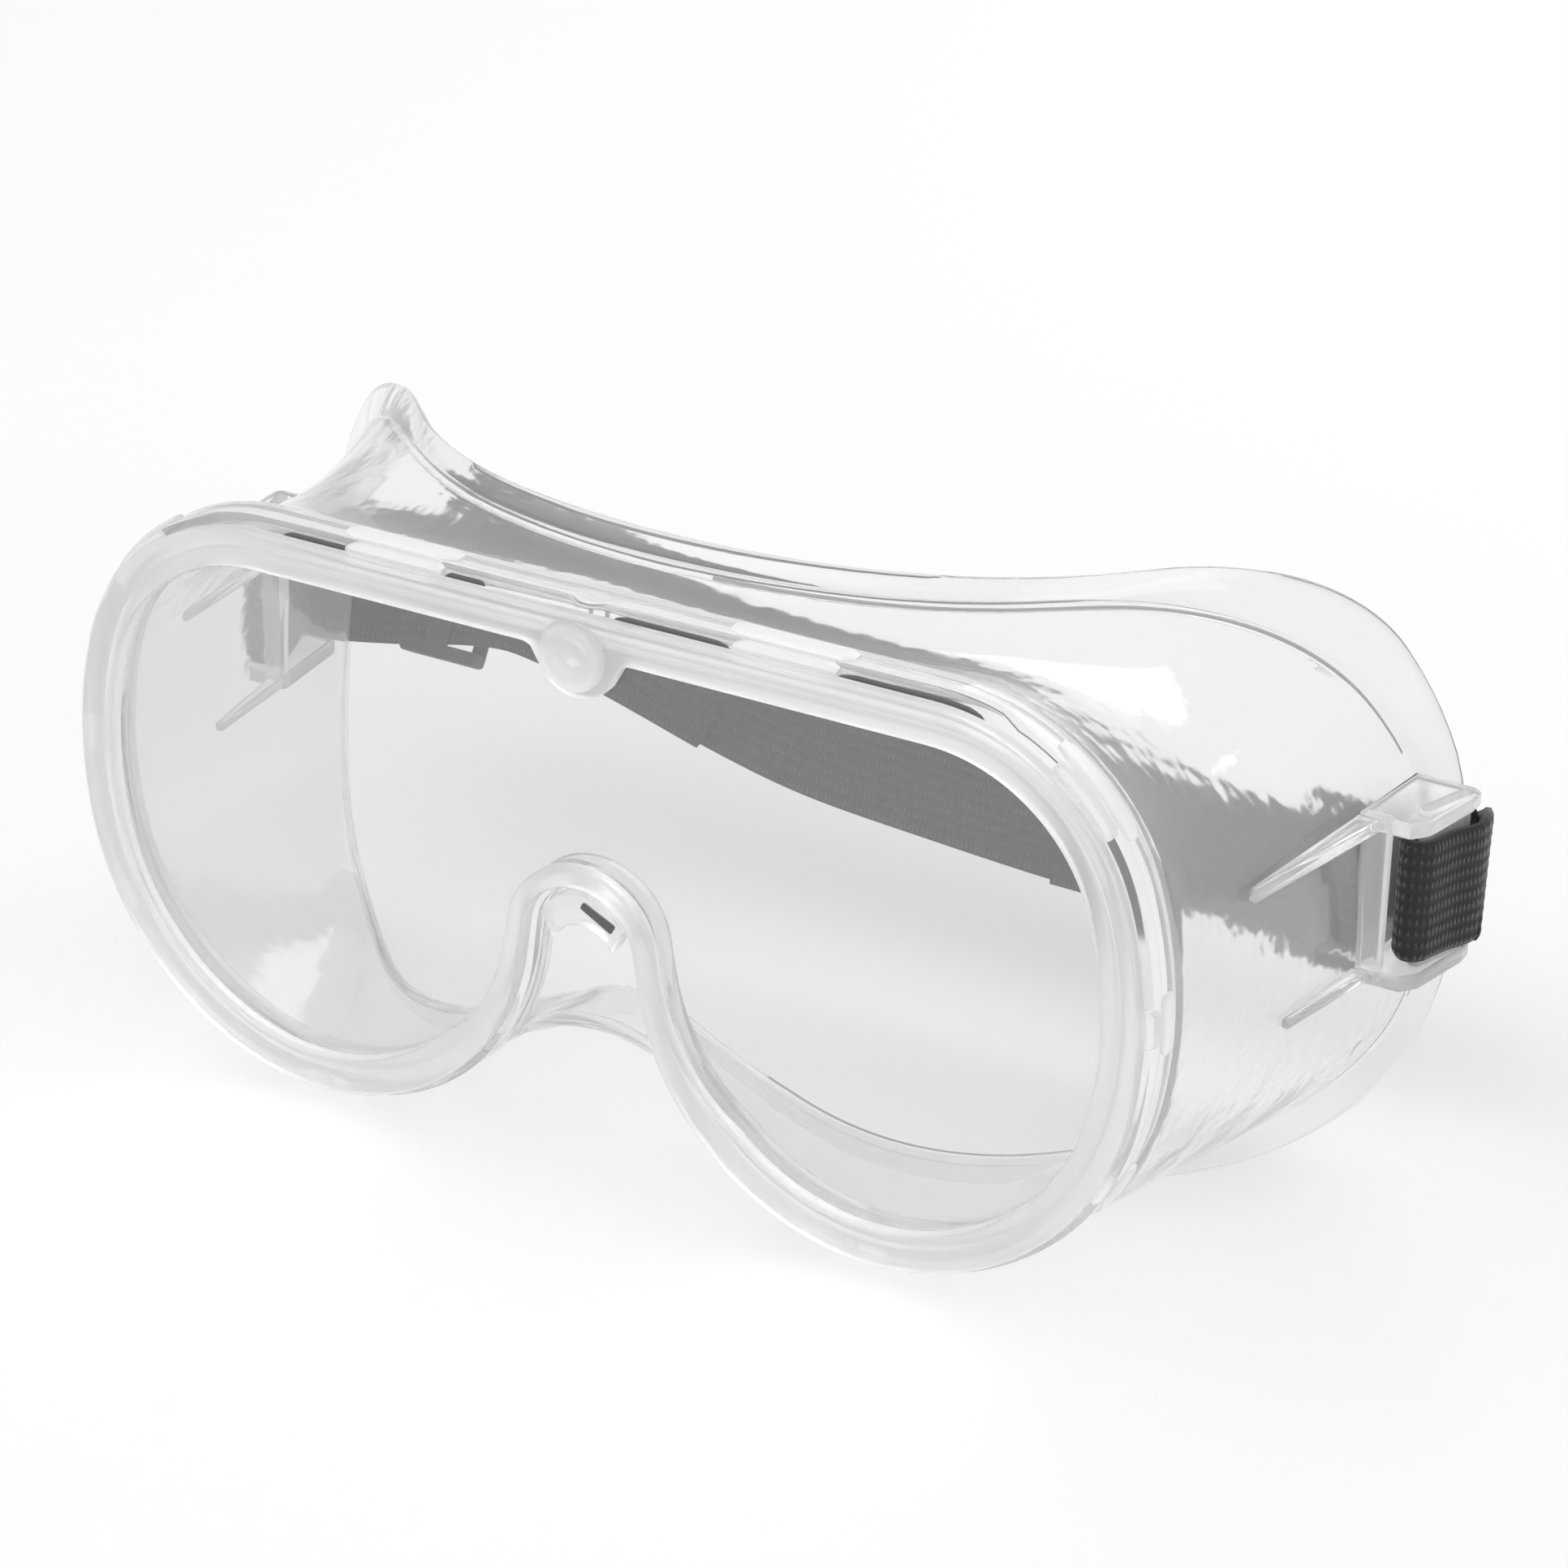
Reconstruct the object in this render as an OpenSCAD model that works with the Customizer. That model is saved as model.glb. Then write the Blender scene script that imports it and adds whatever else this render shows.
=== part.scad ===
// Safety goggles: a clear soft mask with a flat lens, and an elastic headband looped through two moulded brackets.
// Millimetres. +Z is up, the lens faces -Y, and the wearer's left side is +X.
// The shapes are drawn with Z measured from the middle of the rim, and placed() sets them on the ground.

/* [Rim] */
// Distance from the middle to the centre of the rim's upper corner arc
corner_x = 52; // [50:0.5:54]
// Radius of the rim's upper corners
corner_r = 31.5; // [30:0.5:33]
// Radius of the rim's sides
side_r = 63; // [60:1:66]
// Radius of the rim's outer lower corners
lower_r = 42; // [41:0.5:43]
// Radius of the two lobes under the eyes
lobe_r = 36.5; // [36:0.25:37]
// Radius of the arch over the nose in the front of the rim
arch_r = 8; // [7:0.25:8]
// Thickness of the front lip
lip_t = 2.2; // [1.8:0.1:2.6]
// Width of the groove between the lip and the rim behind it
groove_w = 1.6; // [1.2:0.1:2]
// Depth of the rim from its front face to the skirt
rim_depth = 8.4; // [7.5:0.1:9.5]
// Thickness of the lens
lens_t = 2; // [1.5:0.1:2.2]

/* [Skirt and face flange] */
// Thickness of the soft wall
wall = 2; // [1.5:0.1:2.5]
// Depth of the skirt at the middle of the forehead
brow_depth = 21.7; // [20:0.1:23]
// How far the cheeks come forward of the temples
cheek = 8.4; // [7:0.1:10]
// Depth of the hollow in the skirt's upper corners
hollow = 4; // [0:0.5:5]
// Thickness of the flange where it meets the face
flange_t = 1.4; // [1:0.1:2]

/* [Brackets] */
// Distance from the front of the rim to the front bars of the brackets
bracket_y = 54; // [52:0.5:56]
// Height of a bracket
bracket_h = 26; // [25:0.5:27]
// Thickness of a bracket's top and bottom plates
plate_t = 2.4; // [2:0.1:2.6]

/* [Headband] */
// Width of the elastic strap
strap_w = 18; // [16:0.5:18]
// Thickness of the elastic strap
strap_t = 1.4; // [1.2:0.1:1.4]
// Angle at which the strap hangs behind the mask
droop = 30; // [20:1:35]
// Distance of each buckle from the middle
slider_x = 74; // [56:1:76]
// Distance from the middle to the free end of each doubled strap
tail_end_x = 24; // [18:1:28]

/* [Hidden] */
$fn = 64;

// An outline is [corner x, corner z, r, to angle, r, to angle, r, to angle, r, to angle, arch r]: four arcs
// that run into each other, a straight leg, and an arch over the nose.
corner_z = 10.5;
rim_line = [corner_x, corner_z, corner_r, 17, side_r, -11, lower_r, -64, lobe_r, -172, arch_r];
skirt_line = [corner_x, corner_z, corner_r, 17, side_r, -11, lower_r, -64, lobe_r, -137, 24];
crease_line = [51, 3.5, 37.5, 28, 68, -8, 23, -80, 80, -116, 14];
edge_line = [61, 16, 27.5, 26, 85, -12, 24.5, -85, 88, -117, 16];
top_steps = 5;
leg_steps = 4;
arc_steps = [12, 8, 8, 20, 8];

function dir(a) = [cos(a), sin(a)];
function arc(c, r, a0, a1, n) = [for (i = [0 : n - 1]) c + r * dir(a0 + (a1 - a0) * i / n)];
function centre_2(p) = [p[0], p[1]] - (p[4] - p[2]) * dir(p[3]);
function centre_3(p) = centre_2(p) + (p[4] - p[6]) * dir(p[5]);
function centre_4(p) = centre_3(p) + (p[6] - p[8]) * dir(p[7]);
function arch_z(p) = (centre_4(p) * dir(p[9]) + p[8] + p[10]) / sin(p[9]);
function half_line(p, off) = let (
    leg_0 = centre_4(p) + (p[8] + off) * dir(p[9]),
    leg_1 = [0, arch_z(p)] - (p[10] - off) * dir(p[9]))
    concat(
        [for (i = [0 : top_steps - 1]) [p[0] * i / top_steps, p[1] + p[2] + off]],
        arc([p[0], p[1]], p[2] + off, 90, p[3], arc_steps[0]),
        arc(centre_2(p), p[4] + off, p[3], p[5], arc_steps[1]),
        arc(centre_3(p), p[6] + off, p[5], p[7], arc_steps[2]),
        arc(centre_4(p), p[8] + off, p[7], p[9], arc_steps[3]),
        [for (i = [0 : leg_steps - 1]) leg_0 + (leg_1 - leg_0) * i / leg_steps],
        arc([0, arch_z(p)], p[10] - off, p[9] + 180, 90, arc_steps[4]),
        [[0, arch_z(p) + p[10] - off]]);
function whole_line(p, off = 0) = let (h = half_line(p, off), n = len(h))
    concat(h, [for (i = [n - 2 : -1 : 1]) [-h[i][0], h[i][1]]]);

// How far back the face is at a distance x from the middle: a wide arc over the brow, a tighter one at its
// ends, and a straight slope along the temples.
brow_r = 99;
brow_angle = 17;
temple_r = 65;
temple_angle = 45;
brow_x = brow_r * sin(brow_angle);
temple_x = brow_x + temple_r * (sin(temple_angle) - sin(brow_angle));
temple_back = brow_r * (1 - cos(brow_angle)) + temple_r * (cos(brow_angle) - cos(temple_angle));
function back_at(x) = x < brow_x ? brow_r - sqrt(brow_r * brow_r - x * x)
    : x < temple_x ? brow_r * (1 - cos(brow_angle)) + temple_r * cos(brow_angle)
        - sqrt(pow(temple_r, 2) - pow(x - brow_x + temple_r * sin(brow_angle), 2))
    : temple_back + (x - temple_x) * tan(temple_angle);
function face_y(q) = brow_depth + back_at(abs(q[0])) - cheek * min(1, max(0, (10 - q[1]) / 50));
flare = 2;

// The strap turns on an axis along X through pivot_y, between the two brackets.
pivot_y = 72;
strap_x = 101.2;
bend_x = 91;
layer_gap = 0.1;
tail_x = strap_x - strap_t - layer_gap;
bend_r = strap_x - bend_x;
tail_bend_r = tail_x - bend_x;
straight_end_y = pivot_y + strap_w / 2;
run_y = straight_end_y + bend_r;
loop_gap = 0.9;
slider_h = strap_w + 6;
slider_l = 14;
slider_bar = 1;
slider_front_y = straight_end_y + tail_bend_r - strap_t / 2 - 0.3 - slider_bar;
slider_back_y = run_y + strap_t / 2 + 0.3 + slider_bar;
stud_head = 1.6;
stud_z = 35.3;

lift = edge_line[8] - centre_4(edge_line)[1];
rear_y = pivot_y + (slider_back_y - pivot_y) * cos(droop) + slider_h / 2 * sin(droop);
middle_y = (rear_y - stud_head) / 2;

pvc = [0.88, 0.89, 0.90];
frosted = [0.93, 0.94, 0.95];
clear_sheet = [0.80, 0.86, 0.90];
elastic = [0.12, 0.12, 0.13];
buckle = [0.07, 0.07, 0.08];

module placed() translate([0, -middle_y, lift]) children();
module slab(y0, y1) translate([0, y1, 0]) rotate([90, 0, 0]) linear_extrude(y1 - y0) children();
module line_2d(p, off = 0) polygon(whole_line(p, off));
module band_2d(p, outer, inner) difference() {
    line_2d(p, outer);
    line_2d(p, inner);
}
// A wall of constant section that goes all round: curves[k][i] is point i of the section's corner k.
module wall_loop(curves) {
    k = len(curves);
    n = len(curves[0]);
    polyhedron(
        [for (c = curves) each c],
        [for (j = [0 : k - 1], i = [0 : n - 1])
            let (a = j * n + i, b = j * n + (i + 1) % n,
                c = ((j + 1) % k) * n + (i + 1) % n, d = ((j + 1) % k) * n + i)
            each [[a, b, c], [a, c, d]]],
        convexity = 6);
}
function ring_3d(flat, y) = [for (q = flat) [q[0], y, q[1]]];
function face_ring(flat, extra) = [for (q = flat) [q[0], face_y(q) + extra, q[1]]];
function ring_mix(a, b, t) = [for (i = [0 : len(a) - 1]) a[i] + (b[i] - a[i]) * t];
// A ribbon of thickness t along a path, as the points of its outline
function along(path, i) = let (d = path[min(i + 1, len(path) - 1)] - path[max(i - 1, 0)]) d / norm(d);
function beside(path, t) = [for (i = [0 : len(path) - 1])
    let (d = along(path, i)) path[i] + t * [d[1], -d[0]]];
function turned(list) = [for (i = [len(list) - 1 : -1 : 0]) list[i]];
module ribbon_2d(path, t) polygon(concat(beside(path, t / 2), turned(beside(path, -t / 2))));

module stud_boss_2d() translate([0, stud_z - 0.2]) circle(r = 6.3);

// The flat front lip, wider round the stud in the middle of the brow
module front_lip() color(frosted) placed() difference() {
    slab(0, lip_t) difference() {
        line_2d(rim_line, -1.2);
        difference() {
            line_2d(rim_line, -6.8);
            stud_boss_2d();
        }
    }
    slab(-1, lip_t + 1) translate([0, stud_z]) circle(r = 1.7);
}

// The rim behind the groove: a channel that holds the lens, and the outer band that carries the skirt
channel_back = lip_t + lens_t + 0.4;
module rim_channel() color(pvc) placed() union() {
    slab(lip_t, rim_depth) band_2d(rim_line, -2.6, -4.3);
    slab(lip_t + groove_w, rim_depth) band_2d(rim_line, 0, -2.7);
    slab(channel_back, rim_depth - 1.4) band_2d(rim_line, -4.2, -6.4);
}

// Chamfered bars that cross the groove and lock the lip to the rim
tab_places = [[30.2, 41, 0, 15.5], [73.6, 32.5, -45, 12], [83, 2, -90, 5.5],
    [78.4, -22.5, -118, 5], [44, -42.5, 180, 8]];
module tab_marks_2d(longer = 0) for (s = [0, 1], t = tab_places) mirror([s, 0])
    translate([t[0], t[1]]) rotate(t[2]) square([t[3] + longer, 12], center = true);
module rim_tabs() color(frosted) placed() slab(lip_t + 0.02, lip_t + groove_w - 0.02) intersection() {
    band_2d(rim_line, -0.6, -2.58);
    tab_marks_2d();
}

// The raised pads on the rim behind the bars
module tab_pockets() color(pvc) placed() slab(lip_t + groove_w, rim_depth - 1.6) intersection() {
    band_2d(rim_line, 0.9, 0.02);
    tab_marks_2d(3);
}

// The flat lens, with a notch at the top for the stud's stem
module lens() color(clear_sheet) placed() slab(lip_t + 0.1, lip_t + 0.1 + lens_t) difference() {
    line_2d(rim_line, -4.4);
    translate([0, stud_z]) circle(r = 2);
    translate([-2, stud_z]) square([4, 10]);
}

// The push-in stud that holds the lip and the lens together at the brow
module lens_stud() color(pvc) placed() union() {
    translate([0, -0.02, stud_z]) rotate([90, 0, 0]) cylinder(r1 = 5.2, r2 = 4.6, h = stud_head - 0.02);
    translate([0, channel_back - 0.05, stud_z]) rotate([90, 0, 0]) cylinder(r = 1.6, h = channel_back - 0.03);
}

// The crescent-shaped latch under the nose arch, with its window
module nose_latch() color(frosted) placed() slab(0.8, 4.2) translate([0, arch_z(rim_line)]) difference() {
    circle(r = arch_r - 0.05);
    translate([0, -2.6]) circle(r = arch_r - 2.2);
    translate([-10, -20]) square([20, 19]);
    translate([1.4, 4.3]) rotate(-28) square([4.6, 1.3], center = true);
}

// The membrane that closes the front of the mask between the two lobes
module nose_web() color(pvc) placed() slab(4.4, rim_depth) difference() {
    intersection() {
        line_2d(skirt_line, -0.2);
        translate([-24, -40]) square([48, 40]);
    }
    line_2d(rim_line, 0.02);
    translate([-10, arch_z(rim_line) - 1]) square([20, 12]);
}

// The skirt's upper wall is hollowed halfway back, most at its corners and not at all beside the brackets
skirt_steps = 6;
hollow_x = 40;
hollow_z = 6;
function hollow_at(q) = hollow * min(1, max(0, (q[2] - 13) / 14)) * (0.45 + 0.55 * min(1, abs(q[0]) / 60));
function hollowed(q, t) = let (
    h = 4 * t * (1 - t) * hollow_at(q),
    d = [sign(q[0]) * max(0, abs(q[0]) - hollow_x), 0, q[2] - hollow_z])
    h > 0 ? q - h * d / norm(d) : q;
function skirt_curve(off, t) = [for (q = ring_mix(
    ring_3d(whole_line(skirt_line, off - 0.4), rim_depth), face_ring(whole_line(crease_line, off), 0), t))
    hollowed(q, t)];
module skirt() color(pvc) placed() wall_loop(concat(
    [for (i = [0 : skirt_steps]) skirt_curve(0, i / skirt_steps)],
    [for (i = [skirt_steps : -1 : 0]) skirt_curve(-wall, i / skirt_steps)]));

// The face flange turns outwards from the end of the skirt and thins towards its edge
module face_flange() color(pvc) placed() let (
    fold_in = whole_line(crease_line, -wall),
    fold_out = whole_line(crease_line, 0),
    edge = whole_line(edge_line, 0))
    wall_loop([
        face_ring(fold_in, 0),
        face_ring(fold_out, 0),
        ring_mix(face_ring(fold_out, 0), face_ring(edge, flare), 0.5),
        face_ring(edge, flare),
        face_ring(edge, flare + flange_t),
        ring_mix(face_ring(fold_in, wall), face_ring(edge, flare + flange_t), 0.5),
        face_ring(fold_in, wall)]);

// A bracket: a front bar, two plates, and the wide bar that the strap goes round
wide_bar_front = [95.4, 59.6];
wide_bar_back = [98.4, 68.6];
wide_bar_t = 2;
module bracket_plate_2d() polygon([[88.5, bracket_y + 0.8], [89.3, bracket_y], [96.4, bracket_y],
    [98, bracket_y + 2.2], [100.1, 66.4], [100.1, 69], [99.3, 69.8], [90, 69.8]]);
module bracket() color(pvc) placed() union() {
    for (z = [-bracket_h / 2, bracket_h / 2 - plate_t])
        translate([0, 0, z]) linear_extrude(plate_t) bracket_plate_2d();
    translate([0, 0, -bracket_h / 2 + 0.5]) linear_extrude(bracket_h - 1)
        polygon([[88.5, bracket_y + 0.8], [89.3, bracket_y], [93.4, bracket_y], [93.8, bracket_y + 0.5],
            [93.8, bracket_y + 2], [93.3, bracket_y + 2.5], [88.8, bracket_y + 2.5]]);
    translate([0, 0, -bracket_h / 2 + 0.5]) linear_extrude(bracket_h - 1)
        ribbon_2d([wide_bar_front, (wide_bar_front + wide_bar_back) / 2, wide_bar_back], wide_bar_t);
}

// Two tapered ribs that run from a bracket into the skirt
rib_l = 27;
module bracket_ribs() color(pvc) placed() for (s = [-1, 1])
    translate([0, 0, s * 11.6 - 1]) linear_extrude(2)
        polygon([[85.6, bracket_y - rib_l], [86.8, bracket_y - rib_l], [91.8, bracket_y - 0.05],
            [88.4, bracket_y - 0.05]]);

// The end of the strap, wrapped round the wide bar
wrap_r = wide_bar_t / 2 + 0.2 + strap_t / 2;
wide_bar_angle = atan2(wide_bar_back[1] - wide_bar_front[1], wide_bar_back[0] - wide_bar_front[0]);
loop_path = concat(
    [[strap_x, pivot_y], [strap_x, pivot_y - 3]],
    [wide_bar_back + wrap_r * dir(wide_bar_angle - 90)],
    arc(wide_bar_front, wrap_r, wide_bar_angle - 90, wide_bar_angle - 270, 10),
    [wide_bar_front + wrap_r * dir(wide_bar_angle + 90), wide_bar_back + wrap_r * dir(wide_bar_angle + 90)]);
module strap_loop() color(elastic) placed() difference() {
    translate([0, 0, -strap_w / 2]) linear_extrude(strap_w) ribbon_2d(loop_path, strap_t);
    translate([98.2, pivot_y, 0]) rotate([0, 90, 0]) cylinder(r = strap_w / 2 + loop_gap, h = 6);
}

// The headband's pieces are drawn level and then turned down about the pivot
module drooped() placed() translate([0, pivot_y, 0]) rotate([-droop, 0, 0]) translate([0, -pivot_y, 0])
    children();
function right_bend(x, r) = concat([[x, straight_end_y]], arc([bend_x, straight_end_y], r, 0, 90, 8),
    [[bend_x, straight_end_y + r]]);
head_half = concat([[strap_x, pivot_y - strap_w / 2]], [for (i = [1 : 9]) right_bend(strap_x, bend_r)[i]]);
head_path = concat(head_half, [for (q = turned(head_half)) [-q[0], q[1]]]);
module headband() color(elastic) drooped() intersection() {
    translate([0, 0, -strap_w / 2]) linear_extrude(strap_w) ribbon_2d(head_path, strap_t);
    union() {
        translate([-120, pivot_y, 0]) rotate([0, 90, 0]) cylinder(r = strap_w / 2, h = 240);
        translate([-120, pivot_y, -strap_w / 2]) cube([240, 40, strap_w]);
    }
}

// The strap's end comes back inside the headband and stops short of the middle
tail_path = concat([for (i = [1 : 9]) right_bend(tail_x, tail_bend_r)[i]],
    [[tail_end_x, straight_end_y + tail_bend_r]]);
module strap_tail() color(elastic) drooped() translate([0, 0, -strap_w / 2 + 0.2])
    linear_extrude(strap_w - 0.4) ribbon_2d(tail_path, strap_t);

// A three-bar buckle that grips both layers of the strap
rail_h = (slider_h - strap_w) / 2 - 0.3;
module slider() color(buckle) drooped() translate([slider_x, 0, 0]) union() {
    for (s = [-1, 1])
        translate([-slider_l / 2, slider_front_y, s * (slider_h / 2 - rail_h / 2) - rail_h / 2])
            cube([slider_l, slider_back_y - slider_front_y, rail_h]);
    for (x = [-slider_l / 2, slider_l / 2 - 3])
        translate([x, slider_back_y - slider_bar, -slider_h / 2 + 0.5]) cube([3, slider_bar, slider_h - 1]);
    translate([-2, slider_front_y, -slider_h / 2 + 0.5]) cube([4, slider_bar, slider_h - 1]);
}
module other_side() mirror([1, 0, 0]) children();

front_lip();
rim_channel();
rim_tabs();
tab_pockets();
lens();
lens_stud();
nose_latch();
nose_web();
skirt();
face_flange();
bracket();  // bracket_left
other_side() bracket();  // bracket_right
bracket_ribs();  // bracket_ribs_left
other_side() bracket_ribs();  // bracket_ribs_right
strap_loop();  // strap_loop_left
other_side() strap_loop();  // strap_loop_right
headband();
strap_tail();  // strap_tail_left
other_side() strap_tail();  // strap_tail_right
slider();  // slider_left
other_side() slider();  // slider_right
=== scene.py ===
import math
from collections import namedtuple
import bmesh
import bpy
import numpy as np
from mathutils import Matrix, Vector


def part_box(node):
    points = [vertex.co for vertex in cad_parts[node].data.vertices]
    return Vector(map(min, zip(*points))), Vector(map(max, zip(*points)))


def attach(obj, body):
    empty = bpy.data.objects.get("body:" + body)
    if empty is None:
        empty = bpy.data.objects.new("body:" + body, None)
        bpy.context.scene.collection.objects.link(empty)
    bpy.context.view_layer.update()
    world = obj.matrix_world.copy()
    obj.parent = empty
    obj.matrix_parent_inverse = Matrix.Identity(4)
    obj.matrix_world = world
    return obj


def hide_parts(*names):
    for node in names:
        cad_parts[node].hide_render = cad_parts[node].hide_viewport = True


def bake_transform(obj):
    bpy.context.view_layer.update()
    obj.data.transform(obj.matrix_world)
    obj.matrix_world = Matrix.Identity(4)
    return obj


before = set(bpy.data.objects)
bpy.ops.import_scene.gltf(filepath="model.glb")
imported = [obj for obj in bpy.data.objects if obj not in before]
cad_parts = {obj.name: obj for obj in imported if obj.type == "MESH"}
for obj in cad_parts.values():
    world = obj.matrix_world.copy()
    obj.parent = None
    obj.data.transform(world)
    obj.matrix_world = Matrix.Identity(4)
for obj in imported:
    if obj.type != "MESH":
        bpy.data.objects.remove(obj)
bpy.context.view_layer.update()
scene = bpy.context.scene

# ---------------------------------------------------------------- frame
# Shapes are written in millimetres, with y = 0 at the front of the rim and z = 0 half way up the brackets.
MM = 0.001
ORIGIN = np.array([0.0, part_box("front_lip")[0].y,
                   (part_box("bracket_left")[0].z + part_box("bracket_left")[1].z) / 2])


def row(points):
    """Points in the design's millimetres, in the row's frame and metres."""
    return np.asarray(points, float) * MM + ORIGIN


def rad(a):
    return math.radians(a)


def unit(a):
    """The direction at that angle in degrees."""
    return np.array([math.cos(rad(a)), math.sin(rad(a))])


def norm(v):
    return v / np.maximum(np.linalg.norm(v, axis=-1, keepdims=True), 1e-9)


# ---------------------------------------------------------------- outlines, the same as in the CAD
# Each is a chain of arcs from the top middle down one side to the arch over the nose, mirrored to the other side.
# An arc has a radius, and an angle at which it ends; the corner's centre places the chain.
Outline = namedtuple("Outline", "corner_x corner_z corner_r corner_end side_r side_end lower_r lower_end lobe_r "
                     "leg_angle arch_r")
RIM = Outline(52, 10.5, 31.5, 17, 63, -11, 42, -64, 36.5, -172, 8)
SKIRT = Outline(52, 10.5, 31.5, 17, 63, -11, 42, -64, 36.5, -137, 24)
CREASE = Outline(51, 3.5, 37.5, 28, 68, -8, 23, -80, 80, -116, 14)
EDGE = Outline(61, 16, 27.5, 26, 85, -12, 24.5, -85, 88, -117, 16)
# how many points go to the straight top, the four arcs, the straight leg and the arch
TOP_N, ARC_N, LEG_N, ARCH_N = 30, (26, 16, 18, 44), 14, 20


def arc_centres(p):
    """The centres of the four arcs, and the height of the arch's centre."""
    corner = np.array([p.corner_x, p.corner_z], float)
    side = corner - (p.side_r - p.corner_r) * unit(p.corner_end)
    lower = side + (p.side_r - p.lower_r) * unit(p.side_end)
    lobe = lower + (p.lower_r - p.lobe_r) * unit(p.lower_end)
    leg = unit(p.leg_angle)
    return corner, side, lower, lobe, (lobe @ leg + p.lobe_r + p.arch_r) / leg[1]


def outline(p):
    """A closed outline as points and outward normals, starting at the top middle and going to +X first."""
    corner, side, lower, lobe, arch_height = arc_centres(p)
    pts, nor = [], []
    for i in range(TOP_N):
        t = i / TOP_N
        # closer together near the middle, where the boss round the stud is
        pts.append([p.corner_x * (0.55 * t + 0.45 * t ** 3), p.corner_z + p.corner_r])
        nor.append([0, 1])
    arcs = ((corner, p.corner_r, 90, p.corner_end), (side, p.side_r, p.corner_end, p.side_end),
            (lower, p.lower_r, p.side_end, p.lower_end), (lobe, p.lobe_r, p.lower_end, p.leg_angle))
    for (centre, radius, angle_from, angle_to), n in zip(arcs, ARC_N):
        for i in range(n):
            d = unit(angle_from + (angle_to - angle_from) * i / n)
            pts.append(centre + radius * d)
            nor.append(d)
    leg, arch = unit(p.leg_angle), np.array([0, arch_height])
    leg_from, leg_to = lobe + p.lobe_r * leg, arch - p.arch_r * leg
    for i in range(LEG_N):
        pts.append(leg_from + (leg_to - leg_from) * i / LEG_N)
        nor.append(leg)
    for i in range(ARCH_N + 1):
        d = unit(p.leg_angle + 180 + (-90 - p.leg_angle) * i / ARCH_N)
        pts.append(arch + p.arch_r * d)
        nor.append(-d)
    pts, nor = np.array(pts, float), np.array(nor, float)
    flip = np.array([-1, 1])
    return np.concatenate([pts, pts[-2:0:-1] * flip]), np.concatenate([nor, nor[-2:0:-1] * flip])


RIM_P, RIM_N = outline(RIM)
SKIRT_P, SKIRT_N = outline(SKIRT)
CREASE_P, CREASE_N = outline(CREASE)
EDGE_P, EDGE_N = outline(EDGE)
COUNT = len(RIM_P)
HALF = COUNT // 2
LEG_START = TOP_N + sum(ARC_N)

# The face that the goggles sit on: an arc at the brow, a tighter one to each temple, then straight slopes. The
# edge comes forward over the cheeks.
BROW_R, BROW_ANGLE = 99.0, rad(17)
TEMPLE_R, TEMPLE_ANGLE = 65.0, rad(45)
BROW_X = BROW_R * math.sin(BROW_ANGLE)
TEMPLE_X = BROW_X + TEMPLE_R * (math.sin(TEMPLE_ANGLE) - math.sin(BROW_ANGLE))
TEMPLE_BACK = BROW_R * (1 - math.cos(BROW_ANGLE)) + TEMPLE_R * (math.cos(BROW_ANGLE) - math.cos(TEMPLE_ANGLE))
BROW_DEPTH, CHEEK = 21.7, 8.4
CHEEK_TOP, CHEEK_HEIGHT = 10, 50


def face_y(q, deeper=0.0):
    """Y of the face behind points given as (x, z)."""
    x, z = np.abs(q[..., 0]), q[..., 1]
    brow = BROW_R - np.sqrt(np.maximum(BROW_R * BROW_R - x * x, 0))
    from_centre = x - BROW_X + TEMPLE_R * math.sin(BROW_ANGLE)
    temple = BROW_R * (1 - math.cos(BROW_ANGLE)) + TEMPLE_R * math.cos(BROW_ANGLE) \
        - np.sqrt(np.maximum(TEMPLE_R * TEMPLE_R - from_centre * from_centre, 0))
    slope = TEMPLE_BACK + (x - TEMPLE_X) * math.tan(TEMPLE_ANGLE)
    back = np.where(x < BROW_X, brow, np.where(x < TEMPLE_X, temple, slope))
    return BROW_DEPTH + deeper + back - CHEEK * np.clip((CHEEK_TOP - z) / CHEEK_HEIGHT, 0, 1)


# ---------------------------------------------------------------- mesh helpers
# light goes straight through these when it casts a shadow, as thin clear walls hardly dim it
CLEAR_SLOTS = ("clear_pvc", "frosted_pvc", "clear_lens")


def build(name, verts, faces, body, slot, mat, sharp=35, uv=None):
    """A mesh object that rides on a body; its edges over that many degrees stay sharp."""
    me = bpy.data.meshes.new(name)
    me.from_pydata([tuple(q) for q in row(verts)], [], [tuple(int(i) for i in f) for f in faces])
    if uv is not None:
        layer = me.uv_layers.new(name="UVMap")
        uv = np.asarray(uv, float)
        index = np.zeros(len(me.loops), int)
        me.loops.foreach_get("vertex_index", index)
        layer.data.foreach_set("uv", uv[index].ravel())
    bm = bmesh.new()
    bm.from_mesh(me)
    bmesh.ops.recalc_face_normals(bm, faces=bm.faces)
    bm.to_mesh(me)
    bm.free()
    me.set_sharp_from_angle(angle=rad(sharp))
    me.polygons.foreach_set("use_smooth", [len(q.vertices) < 5 for q in me.polygons])
    me.materials.append(mat)
    o = bpy.data.objects.new(name, me)
    scene.collection.objects.link(o)
    if body:
        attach(o, body)
    o.visible_shadow = slot not in CLEAR_SLOTS
    return o


def rings_to_mesh(rings, around_closed=True, section_closed=True):
    """rings[k][i] is point i of ring k. Joins neighbours, and closes the ends of an open sweep with caps."""
    rings = np.asarray(rings, float)
    k, n = rings.shape[:2]
    faces = []
    for a in range(k if section_closed else k - 1):
        b = (a + 1) % k
        for i in range(n if around_closed else n - 1):
            j = (i + 1) % n
            faces.append((a * n + i, a * n + j, b * n + j, b * n + i))
    if not around_closed and section_closed:
        faces.append([a * n for a in range(k)])
        faces.append([a * n + n - 1 for a in range(k)][::-1])
    return rings.reshape(-1, 3), faces


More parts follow.
